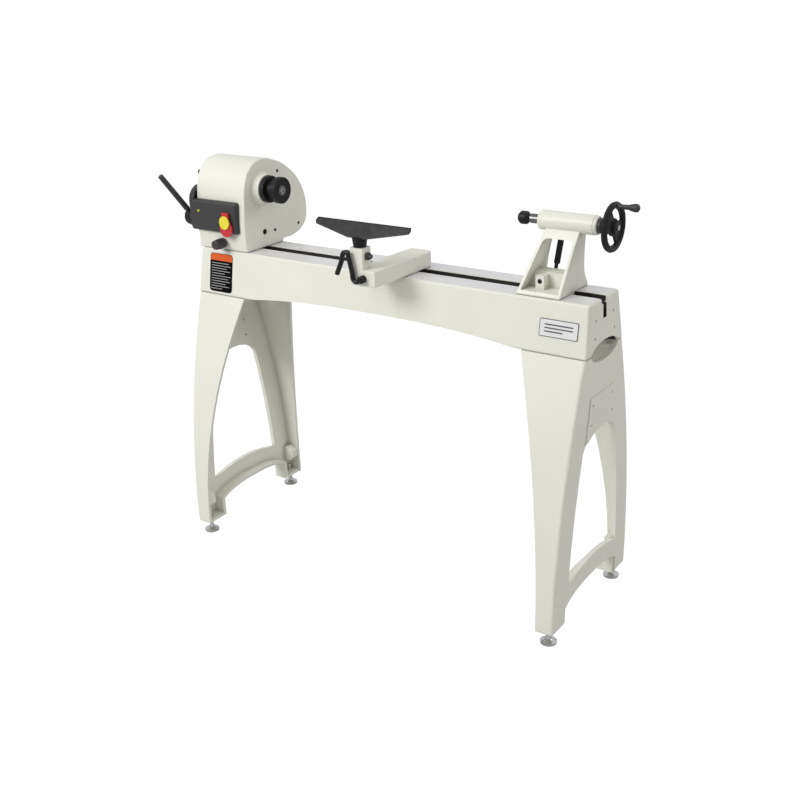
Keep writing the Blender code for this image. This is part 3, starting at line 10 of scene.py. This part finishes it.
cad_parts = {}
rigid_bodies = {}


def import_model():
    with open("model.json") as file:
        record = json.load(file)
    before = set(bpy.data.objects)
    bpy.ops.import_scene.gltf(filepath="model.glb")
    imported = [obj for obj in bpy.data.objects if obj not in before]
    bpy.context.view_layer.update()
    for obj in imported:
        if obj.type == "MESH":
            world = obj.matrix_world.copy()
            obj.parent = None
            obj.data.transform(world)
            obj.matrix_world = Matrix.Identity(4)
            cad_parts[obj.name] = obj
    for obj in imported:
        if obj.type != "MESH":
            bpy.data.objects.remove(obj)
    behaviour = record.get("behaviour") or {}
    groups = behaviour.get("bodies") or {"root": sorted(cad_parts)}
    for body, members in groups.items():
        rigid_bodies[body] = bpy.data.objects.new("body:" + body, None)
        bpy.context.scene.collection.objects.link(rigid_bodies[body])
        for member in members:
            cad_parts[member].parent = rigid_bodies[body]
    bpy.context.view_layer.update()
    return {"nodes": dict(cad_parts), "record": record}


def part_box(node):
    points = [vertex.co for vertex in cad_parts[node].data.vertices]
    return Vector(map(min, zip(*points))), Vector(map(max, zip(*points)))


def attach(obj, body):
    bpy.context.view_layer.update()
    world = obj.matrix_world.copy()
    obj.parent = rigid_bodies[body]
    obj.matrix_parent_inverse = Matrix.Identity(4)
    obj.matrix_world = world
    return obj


for leftover in list(bpy.data.objects):
    bpy.data.objects.remove(leftover, do_unlink=True)

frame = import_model()
NODES = frame["nodes"]

# ---- places taken from the CAD ----
SHIFT = (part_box("left_stand")[0].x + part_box("right_stand")[1].x) / 2
BED_LOW, BED_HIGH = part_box("bed")
BED_TOP = BED_HIGH.z
SEAM_Z = BED_LOW.z
BED_TOP_HALF_WIDTH = 0.088
BED_SEAM_HALF_WIDTH = 0.111
BED_HALF_LENGTH = 0.650
BED_END_LEAN = 0.006  # how far each end leans out from the top to the seam
GAP_HALF = 0.0185
SPINDLE_Z = 1.100
SKIN = 0.006  # how deep below its outside the bed counts as inside
WAY_DEPTH = 0.0015  # the slot's top edges stay bright this far down
END_OPENING_HALF = 0.0097
END_OPENING_FALL = (0.0095, 0.0525)  # the opening's top and bottom, below the bed's top
# painted shade: the bed's slot, hollow and end opening are darkened to this share of the paint's colour
INSIDE_SHADE = 0.035  # share of the paint's colour that the bed's inside keeps
SMOOTH_ANGLE = math.radians(34)
WELD_DISTANCE = 0.00002


# ---- materials ----
class Nodes:
    """A material's node tree, with short calls to add and join nodes."""

    def __init__(self, name):
        self.material = bpy.data.materials.new(name)
        self.material.use_nodes = True
        self.tree = self.material.node_tree
        self.shader = self.tree.nodes["Principled BSDF"]
        self.coords = self.add("ShaderNodeTexCoord").outputs["Object"]

    def add(self, kind, **values):
        node = self.tree.nodes.new(kind)
        for key, value in values.items():
            setattr(node, key, value)
        return node

    def link(self, source, target):
        self.tree.links.new(source, target)

    def stretched(self, scale):
        mapping = self.add("ShaderNodeMapping")
        mapping.inputs["Scale"].default_value = scale
        self.link(self.coords, mapping.inputs["Vector"])
        return mapping.outputs["Vector"]

    def noise(self, scale, detail, vector=None):
        node = self.add("ShaderNodeTexNoise")
        node.inputs["Scale"].default_value = scale
        node.inputs["Detail"].default_value = detail
        self.link(vector or self.coords, node.inputs["Vector"])
        return node.outputs["Fac"]

    def remap(self, value, low, high, to_low, to_high):
        node = self.add("ShaderNodeMapRange")
        for key, number in zip(("From Min", "From Max", "To Min", "To Max"), (low, high, to_low, to_high)):
            node.inputs[key].default_value = number
        self.link(value, node.inputs["Value"])
        return node.outputs["Result"]

    def math(self, operation, a, b):
        node = self.add("ShaderNodeMath", operation=operation)
        for socket, value in zip(node.inputs, (a, b)):
            if isinstance(value, (int, float)):
                socket.default_value = value
            else:
                self.link(value, socket)
        return node.outputs[0]

    def mix(self, factor, a, b):
        node = self.add("ShaderNodeMix", data_type="RGBA")
        for socket, value in ((node.inputs[0], factor), (node.inputs[6], a), (node.inputs[7], b)):
            if isinstance(value, (int, float)):
                socket.default_value = value
            elif isinstance(value, tuple):
                socket.default_value = (*value, 1)
            else:
                self.link(value, socket)
        return node.outputs[2]

    def edges(self, radius):
        """1 along convex and concave edges, 0 on flat faces."""
        bevel = self.add("ShaderNodeBevel", samples=4)
        bevel.inputs["Radius"].default_value = radius
        geometry = self.add("ShaderNodeNewGeometry")
        dot = self.add("ShaderNodeVectorMath", operation="DOT_PRODUCT")
        self.link(bevel.outputs["Normal"], dot.inputs[0])
        self.link(geometry.outputs["Normal"], dot.inputs[1])
        return self.remap(dot.outputs["Value"], 0.995, 0.90, 0.0, 1.0)

    def painted_shade(self, distance):
        """Mask for painted shade: 1 in corners and under overhangs, 0 in the open."""
        shade = self.add("ShaderNodeAmbientOcclusion", samples=6)
        shade.inputs["Distance"].default_value = distance
        return self.remap(shade.outputs["AO"], 0.35, 0.95, 1.0, 0.0)

    def bump(self, height, strength, distance):
        node = self.add("ShaderNodeBump")
        node.inputs["Strength"].default_value = strength
        node.inputs["Distance"].default_value = distance
        self.link(height, node.inputs["Height"])
        self.link(node.outputs["Normal"], self.shader.inputs["Normal"])


def scaled(colour, factor):
    return tuple(min(1.0, channel * factor) for channel in colour)


def surface(
    name,
    colour,
    rough,
    metallic=0.0,
    grain=700.0,
    bump=0.12,
    wear=None,
    wear_share=0.5,
    painted_shade=0.35,
    spread=0.04,
    streak=None,
    specular=0.5,
    dark=None,
):
    """A finish with slow colour variation, fine bump, uneven roughness, worn edges and painted shade in the
    corners.

    dark is a function that gives a mask of the shaded inside, where the colour is darkened as painted shade.
    """
    n = Nodes(name)
    slow = n.noise(5.0, 4.0)
    tone = n.mix(slow, scaled(colour, 1 - spread), scaled(colour, 1 + spread))
    # painted shade: the colour darkens towards 35% of itself in corners and under overhangs
    tone = n.mix(n.math("MULTIPLY", n.painted_shade(0.020), painted_shade), tone, scaled(colour, 0.35))
    if wear:
        patches = n.remap(n.noise(90.0, 4.0), 0.42, 0.62, 0.0, 1.0)
        mask = n.math("MULTIPLY", n.math("MULTIPLY", n.edges(0.0011), patches), wear_share)
        tone = n.mix(mask, tone, wear)
    # painted shade: where dark gives 1, the colour falls to INSIDE_SHADE of itself
    if dark:
        tone = n.mix(dark(n), tone, scaled(colour, INSIDE_SHADE))
    n.link(tone, n.shader.inputs["Base Color"])
    vector = n.stretched(streak) if streak else None
    fine = n.noise(grain, 3.0, vector)
    medium = n.noise(38.0, 3.0)
    patchy = n.remap(medium, 0.3, 0.7, -0.05, 0.05)
    uneven = n.math("ADD", patchy, n.remap(fine, 0.3, 0.7, rough - 0.04, rough + 0.04))
    n.link(uneven, n.shader.inputs["Roughness"])
    n.bump(fine, bump, 0.0002)
    n.shader.inputs["Metallic"].default_value = metallic
    n.shader.inputs["Specular IOR Level"].default_value = specular
    return n.material


def bed_inside_shade_mask(n):
    """Painted shade mask: 1 on the faces of the bed's slot, its hollow and the opening through each end, 0 on
    its outside.
    """
    split = n.add("ShaderNodeSeparateXYZ")
    n.link(n.add("ShaderNodeNewGeometry").outputs["Position"], split.inputs[0])
    x = n.math("ABSOLUTE", n.math("SUBTRACT", split.outputs[0], SHIFT), 0.0)
    y = n.math("ABSOLUTE", split.outputs[1], 0.0)
    z = split.outputs[2]
    fall = n.math("SUBTRACT", BED_TOP, z)
    spread = (BED_SEAM_HALF_WIDTH - BED_TOP_HALF_WIDTH) / (BED_TOP - SEAM_Z)
    side = n.math("ADD", n.math("MULTIPLY", fall, spread), BED_TOP_HALF_WIDTH - SKIN)
    end = n.math("ADD", n.math("MULTIPLY", fall, BED_END_LEAN / (BED_TOP - SEAM_Z)), BED_HALF_LENGTH - SKIN)
    inside = n.math("MULTIPLY", n.math("LESS_THAN", y, side), n.math("LESS_THAN", x, end))
    inside = n.math("MULTIPLY", inside, n.math("GREATER_THAN", fall, WAY_DEPTH))
    high, low = END_OPENING_FALL
    opening = n.math("MULTIPLY", n.math("LESS_THAN", y, END_OPENING_HALF), n.math("GREATER_THAN", fall, high))
    opening = n.math("MULTIPLY", opening, n.math("LESS_THAN", fall, low))
    return n.math("MAXIMUM", inside, opening)


CREAM = (0.800, 0.798, 0.712)
PAINT = {"grain": 520.0, "bump": 0.16, "wear": (0.90, 0.90, 0.84), "wear_share": 0.35}
FINISHES = {
    "cream_paint": surface("cream_powder_coat", CREAM, 0.42, **PAINT),
    "black_plastic": surface("black_moulded_plastic", (0.046, 0.046, 0.047), 0.45, grain=1500.0, bump=0.25,
                             wear=(0.07, 0.07, 0.07), wear_share=0.4, painted_shade=0.2, specular=0.35),
    "black_iron": surface("black_enamel", (0.009, 0.009, 0.010), 0.46, grain=420.0, bump=0.18,
                          wear=(0.10, 0.10, 0.10), wear_share=0.45, painted_shade=0.2, specular=0.27),
    "polished_steel": surface("ground_bright_steel", (0.19, 0.19, 0.195), 0.34, 1.0, grain=260.0, bump=0.10,
                              streak=(12.0, 1.0, 1.0), wear=(0.7, 0.7, 0.7), wear_share=0.3),
    "zinc_steel": surface("bright_zinc_plate", (0.74, 0.74, 0.75), 0.20, 1.0, grain=300.0, bump=0.10,
                          wear=(0.50, 0.49, 0.47), wear_share=0.4),
    "grey_iron": surface("machined_iron", (0.20, 0.20, 0.20), 0.50, 0.8, grain=420.0, bump=0.3,
                         wear=(0.40, 0.40, 0.40), wear_share=0.5),
    "red_plastic": surface("red_moulded_plastic", (0.60, 0.030, 0.035), 0.34, grain=900.0, bump=0.15,
                           wear=(0.80, 0.18, 0.16), wear_share=0.3, painted_shade=0.25),
    "yellow_plastic": surface("yellow_moulded_plastic", (0.85, 0.74, 0.045), 0.34, grain=900.0, bump=0.15,
                              wear=(0.95, 0.9, 0.4), wear_share=0.3, painted_shade=0.25),
    "belt_rubber": surface("belt_rubber", (0.018, 0.018, 0.018), 0.8, grain=700.0, bump=0.4),
    "motor_paint": surface("motor_enamel", (0.09, 0.09, 0.10), 0.5, grain=500.0, bump=0.3,
                           wear=(0.3, 0.3, 0.3)),
}
# the bed's cream paint, with painted shade on its slot, hollow and end opening
BED_PAINT = surface("cream_powder_coat_bed", CREAM, 0.42, dark=bed_inside_shade_mask, **PAINT)
BRIGHT_CENTRE = surface("bright_drive_centre", (0.62, 0.62, 0.63), 0.26, 1.0, grain=500.0, painted_shade=0.6)
OWN_FINISH = {"bed": BED_PAINT, "drive_centre": BRIGHT_CENTRE}
WAYS = surface("ground_ways", (0.93, 0.925, 0.94), 0.20, 0.50, grain=900.0, bump=0.06,
               streak=(0.05, 1.0, 1.0), painted_shade=0.25, spread=0.05, wear=(0.8, 0.8, 0.8), wear_share=0.3)
PRINT = {"grain": 900.0, "bump": 0.08, "painted_shade": 0.1}
LABEL_BLACK = surface("label_black", (0.003, 0.003, 0.003), 0.55, specular=0.04, **PRINT)
LABEL_ORANGE = surface("label_orange", (0.72, 0.11, 0.015), 0.45, specular=0.3, **PRINT)
LABEL_GREY = surface("label_grey", (0.34, 0.34, 0.34), 0.45, specular=0.3, **PRINT)
PLATE = {"grain": 900.0, "bump": 0.06, "painted_shade": 0.1}
BADGE_WHITE = surface("badge_white", (0.80, 0.80, 0.80), 0.35, **PLATE)
BADGE_GREY = surface("badge_grey", (0.10, 0.10, 0.11), 0.35, **PLATE)
# painted shade: near-black for the inside of the screws' hex sockets
SCREW_SOCKET_SHADE = surface("painted_socket_shade", (0.010, 0.010, 0.010), 0.6, grain=900.0, bump=0.1, painted_shade=0.1,
                     specular=0.2)


# ---- mesh helpers ----
def mesh_of(build):
    mesh = bpy.data.meshes.new("shape")
    bm = bmesh.new()
    build(bm)
    bmesh.ops.recalc_face_normals(bm, faces=bm.faces)
    bm.to_mesh(mesh)
    bm.free()
    return mesh


def shade_by_angle():
    """Node group that smooths every face and keeps edges sharper than its angle sharp."""
    group = bpy.data.node_groups.new("shade_by_angle", "GeometryNodeTree")
    group.interface.new_socket("Geometry", in_out="INPUT", socket_type="NodeSocketGeometry")
    group.interface.new_socket("Geometry", in_out="OUTPUT", socket_type="NodeSocketGeometry")
    nodes, links = group.nodes, group.links
    start, end = nodes.new("NodeGroupInput"), nodes.new("NodeGroupOutput")
    faces = nodes.new("GeometryNodeSetShadeSmooth")
    faces.domain = "FACE"
    faces.inputs["Shade Smooth"].default_value = True
    angle = nodes.new("GeometryNodeInputMeshEdgeAngle")
    compare = nodes.new("FunctionNodeCompare")
    compare.data_type = "FLOAT"
    compare.operation = "GREATER_THAN"
    compare.inputs[1].default_value = SMOOTH_ANGLE
    edges = nodes.new("GeometryNodeSetShadeSmooth")
    edges.domain = "EDGE"
    edges.inputs["Shade Smooth"].default_value = False
    links.new(start.outputs[0], faces.inputs["Geometry"])
    links.new(faces.outputs[0], edges.inputs["Geometry"])
    links.new(angle.outputs["Unsigned Angle"], compare.inputs[0])
    links.new(compare.outputs[0], edges.inputs["Selection"])
    links.new(edges.outputs[0], end.inputs[0])
    return group


SHADING = shade_by_angle()


def shade(obj):
    merge = obj.modifiers.new("weld", "WELD")
    merge.merge_threshold = WELD_DISTANCE
    smooth = obj.modifiers.new("shade", "NODES")
    smooth.node_group = SHADING
    weighted = obj.modifiers.new("weighted", "WEIGHTED_NORMAL")
    weighted.keep_sharp = True
    weighted.weight = 80


def piece(name, mesh, material, body):
    """A visible piece. Its mesh is built round the bed's middle, and SHIFT moves it to its place."""
    mesh.transform(Matrix.Translation((SHIFT, 0, 0)))
    obj = bpy.data.objects.new(name, mesh)
    bpy.context.scene.collection.objects.link(obj)
    obj.data.materials.clear()
    obj.data.materials.append(material)
    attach(obj, body)


def prism(outline, low, high, axis="Y"):
    """Mesh of an outline given thickness along an axis. The outline's pairs are along the other two axes."""
    place = {
        "X": lambda u, v, w: (w, u, v),
        "Y": lambda u, v, w: (u, w, v),
        "Z": lambda u, v, w: (u, v, w),
    }[axis]

    def build(bm):
        rings = [[bm.verts.new(place(u, v, w)) for u, v in outline] for w in (low, high)]
        bm.faces.new(rings[0])
        bm.faces.new(rings[1])
        count = len(outline)
        for i in range(count):
            j = (i + 1) % count
            bm.faces.new((rings[0][i], rings[0][j], rings[1][j], rings[1][i]))

    return mesh_of(build)


def rounded(low, high, radius, count=6):
    """Outline of a rectangle with rounded corners, each an arc of count points."""
    (left, bottom), (right, top) = low, high
    points = []
    for x, z, start in ((right, top, 0), (left, top, 90), (left, bottom, 180), (right, bottom, 270)):
        cx = x - radius if x == right else x + radius
        cz = z - radius if z == top else z + radius
        for i in range(count):
            a = math.radians(start + 90 * i / (count - 1))
            points.append((cx + radius * math.cos(a), cz + radius * math.sin(a)))
    return points


# ---- CAD nodes ----
def dress_cad():
    for row in frame["record"]["subparts"]:
        node = NODES[row["node"]]
        node.data.materials.clear()
        node.data.materials.append(OWN_FINISH.get(row["node"], FINISHES[row["material_slot"]]))
        shade(node)


# ---- bed details ----
SLOPE = math.atan2(BED_SEAM_HALF_WIDTH - BED_TOP_HALF_WIDTH, BED_TOP - SEAM_Z)


def on_bed_front(mesh):
    """Tips a mesh drawn flat on y = 0, with z measured from the seam, onto the bed's sloping front."""
    mesh.transform(Matrix.Rotation(-SLOPE, 4, "X"))
    mesh.transform(Matrix.Translation((0, -BED_SEAM_HALF_WIDTH, SEAM_Z)))
    return mesh


def make_ways():
    half = BED_HALF_LENGTH - 0.006
    for side in (-1, 1):
        low, high = sorted((side * (GAP_HALF + 0.0030), side * 0.0825))
        mesh = prism(rounded((-half, low), (half, high), 0.0015, 3), BED_TOP - 0.001, BED_TOP + 0.0002, "Z")
        piece("way_front" if side < 0 else "way_back", mesh, WAYS, "base")


def bars(name, left, top, pitch, reaches, thick, depth, material):
    """Plain bars in place of lines of writing."""
    for i, reach in enumerate(reaches):
        z = top - pitch * i
        mesh = prism(rounded((left, z - thick / 2), (left + reach, z + thick / 2), thick / 3, 2), -depth, 0)
        piece(f"{name}_{i + 1}", on_bed_front(mesh), material, "base")


def make_label():
    left, right, bottom, top = -0.6120, -0.5220, 0.010, 0.127
    flat = 0.0008
    mesh = on_bed_front(prism(rounded((left, bottom), (right, top), 0.010), -flat, 0.0004))
    piece("label_plate", mesh, LABEL_BLACK, "base")
    rim, foot = 0.0012, top - 0.022
    band = rounded((left + rim, foot - 0.020), (right - rim, top - rim), 0.009)
    band = [(x, z) for x, z in band if z > foot]
    band += [(left + rim, foot), (right - rim, foot)]
    mesh = on_bed_front(prism(band, -flat - 0.0002, 0))
    piece("label_band", mesh, LABEL_ORANGE, "base")
    reaches = (0.070, 0.078, 0.062, 0.075, 0.054, 0.078, 0.068, 0.076, 0.058, 0.073, 0.045)
    bars("label_line", left + 0.006, top - 0.030, 0.0078, reaches, 0.0022, flat + 0.0002, LABEL_GREY)


def make_badge():
    left, right, bottom, top = 0.519, 0.627, 0.046, 0.092
    mesh = on_bed_front(prism(rounded((left, bottom), (right, top), 0.004), -0.0012, 0.0004))
    piece("badge_plate", mesh, BADGE_GREY, "base")
    rim = 0.0018
    face = rounded((left + rim, bottom + rim), (right - rim, top - rim), 0.003)
    mesh = on_bed_front(prism(face, -0.0015, 0.0))
    piece("badge_face", mesh, BADGE_WHITE, "base")
    bars("badge_line", left + 0.014, top - 0.014, 0.009, (0.080, 0.080, 0.052), 0.0034, 0.0018, BADGE_GREY)


# ---- small parts on moving bodies ----
def turned(profile, axis_at, segments=48):
    """Closed turned shape round an axis along X. The profile's pairs are a place along X and a radius."""
    x0, y0, z0 = axis_at

    def build(bm):
        rings = []
        for along, radius in profile:
            if radius == 0:
                rings.append([bm.verts.new((x0 + along, y0, z0))])
                continue
            rings.append([])
            for i in range(segments):
                a = 2 * math.pi * i / segments
                place = (x0 + along, y0 + radius * math.cos(a), z0 + radius * math.sin(a))
                rings[-1].append(bm.verts.new(place))
        for ring, after in zip(rings, rings[1:]):
            for i in range(segments):
                j = (i + 1) % segments
                around = ((ring, i), (ring, j), (after, j), (after, i))
                corners = [points[k % len(points)] for points, k in around]
                bm.faces.new(list(dict.fromkeys(corners)))
        bmesh.ops.remove_doubles(bm, verts=bm.verts, dist=1e-6)

    return mesh_of(build)


def make_faceplate_ring():
    """A thin turned line on the faceplate's front."""
    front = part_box("faceplate")[1].x - SHIFT
    inner, outer, depth, height = 0.0238, 0.0250, -0.0006, 0.0003
    profile = [(depth, inner), (height, inner), (height, outer), (depth, outer), (depth, inner)]
    mesh = turned(profile, (front, 0, SPINDLE_Z), 64)
    piece("faceplate_ring", mesh, FINISHES["black_iron"], "spindle_group")


def make_cover_knob():
    """Small dark knob at the upper front of the headstock's left end."""
    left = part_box("headstock_casting")[0].x - SHIFT
    profile = [(0.002, 0), (0.002, 0.0048), (-0.004, 0.0048), (-0.005, 0.0070)]
    profile += [(-0.010, 0.0066), (-0.011, 0.0055), (-0.011, 0)]
    mesh = turned(profile, (left, -0.050, 1.143), 24)
    piece("cover_knob", mesh, FINISHES["black_plastic"], "headstock")


def make_screw_sockets():
    """Dark hexagons, sunk in the heads of the headstock's face screws, as painted shade for their hex
    sockets.
    """
    for i in range(3):
        low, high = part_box(f"face_screw_{i + 1}")
        y, z = (low.y + high.y) / 2, (low.z + high.z) / 2
        turns = [math.pi * k / 3 for k in range(6)]
        outline = [(y + 0.0021 * math.cos(a), z + 0.0021 * math.sin(a)) for a in turns]
        mesh = prism(outline, high.x - SHIFT - 0.0008, high.x - SHIFT + 0.0001, "X")
        piece(f"face_screw_socket_{i + 1}", mesh, SCREW_SOCKET_SHADE, "headstock")


def make_dial_marks():
    """Plain ticks round the speed dial."""
    low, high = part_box("speed_dial")
    y, z = (low.y + high.y) / 2, (low.z + high.z) / 2
    inner, outer, half = 0.0255, 0.0290, 0.0005
    for i in range(11):
        across = Matrix.Rotation(math.radians(150 - 24 * i), 4, "X")
        mesh = prism([(inner, -half), (outer, -half), (outer, half), (inner, half)], -0.0001, 0.0004, "X")
        mesh.transform(Matrix.Translation((low.x - SHIFT, y, z)) @ across)
        piece(f"dial_mark_{i + 1}", mesh, BADGE_WHITE, "headstock")


# ---- stage ----
def make_stage():
    floor_mesh = mesh_of(lambda bm: bmesh.ops.create_circle(bm, cap_ends=True, segments=64, radius=90.0))
    floor = bpy.data.objects.new("floor", floor_mesh)
    floor.location.z = -0.0006
    bpy.context.scene.collection.objects.link(floor)
    n = Nodes("pale_floor")
    n.shader.inputs["Base Color"].default_value = (0.55, 0.55, 0.55, 1)
    n.shader.inputs["Roughness"].default_value = 0.8
    seen = n.add("ShaderNodeBsdfDiffuse")
    seen.inputs["Color"].default_value = (0.16, 0.16, 0.16, 1)
    glow = n.add("ShaderNodeEmission")
    glow.inputs["Strength"].default_value = 0.92
    add = n.add("ShaderNodeAddShader")
    n.link(seen.outputs[0], add.inputs[0])
    n.link(glow.outputs[0], add.inputs[1])
    path = n.add("ShaderNodeLightPath")
    mix = n.add("ShaderNodeMixShader")
    n.link(path.outputs["Is Camera Ray"], mix.inputs[0])
    n.link(n.shader.outputs[0], mix.inputs[1])
    n.link(add.outputs[0], mix.inputs[2])
    n.link(mix.outputs[0], n.tree.nodes["Material Output"].inputs["Surface"])
    floor.data.materials.append(n.material)

    world = bpy.data.worlds.new("studio")
    bpy.context.scene.world = world
    world.use_nodes = True
    nodes, links = world.node_tree.nodes, world.node_tree.links
    background = nodes["Background"]
    background.inputs["Color"].default_value = (1, 1, 1, 1)
    path = nodes.new("ShaderNodeLightPath")
    strength = nodes.new("ShaderNodeMix")
    strength.inputs[2].default_value = 0.60
    strength.inputs[3].default_value = 1.0
    links.new(path.outputs["Is Camera Ray"], strength.inputs[0])
    links.new(strength.outputs[0], background.inputs["Strength"])


def make_light(name, place, target, size, power):
    data = bpy.data.lights.new(name, "AREA")
    data.shape = "DISK"
    data.size = size
    data.energy = power
    light = bpy.data.objects.new(name, data)
    light.location = place
    aim = Vector(target) - Vector(place)
    light.rotation_euler = aim.to_track_quat("-Z", "Y").to_euler()
    bpy.context.scene.collection.objects.link(light)


def make_lights():
    make_light("key", (-2.4, -4.6, 4.0), (0, 0, 0.7), 2.6, 182)
    make_light("top", (0.4, -0.6, 4.6), (0, 0, 0.9), 2.2, 8)
    make_light("rim", (3.2, 2.6, 3.0), (0, 0, 0.8), 2.0, 27)


def make_camera():
    azimuth, elevation, roll = 0.60764, 0.38237, -0.03288
    back = Vector(
        (
            math.sin(azimuth) * math.cos(elevation),
            -math.cos(azimuth) * math.cos(elevation),
            math.sin(elevation),
        )
    )
    right = (-back).cross(Vector((0, 0, 1))).normalized()
    up = right.cross(-back)
    turned_right = math.cos(roll) * right + math.sin(roll) * up
    turned_up = -math.sin(roll) * right + math.cos(roll) * up
    data = bpy.data.cameras.new("camera")
    data.sensor_width = 36.0
    data.lens = 36.0 * 1107.708 / 800
    data.clip_start = 0.1
    data.clip_end = 200
    camera = bpy.data.objects.new("camera", data)
    place = Matrix((turned_right, turned_up, back)).transposed().to_4x4()
    camera.matrix_world = Matrix.Translation((1.74728 + SHIFT, -2.49515, 1.73544)) @ place
    bpy.context.scene.collection.objects.link(camera)
    bpy.context.scene.camera = camera


dress_cad()
make_ways()
make_label()
make_badge()
make_faceplate_ring()
make_cover_knob()
make_screw_sockets()
make_dial_marks()
make_stage()
make_lights()
make_camera()
bpy.context.scene.view_settings.view_transform = "Standard"
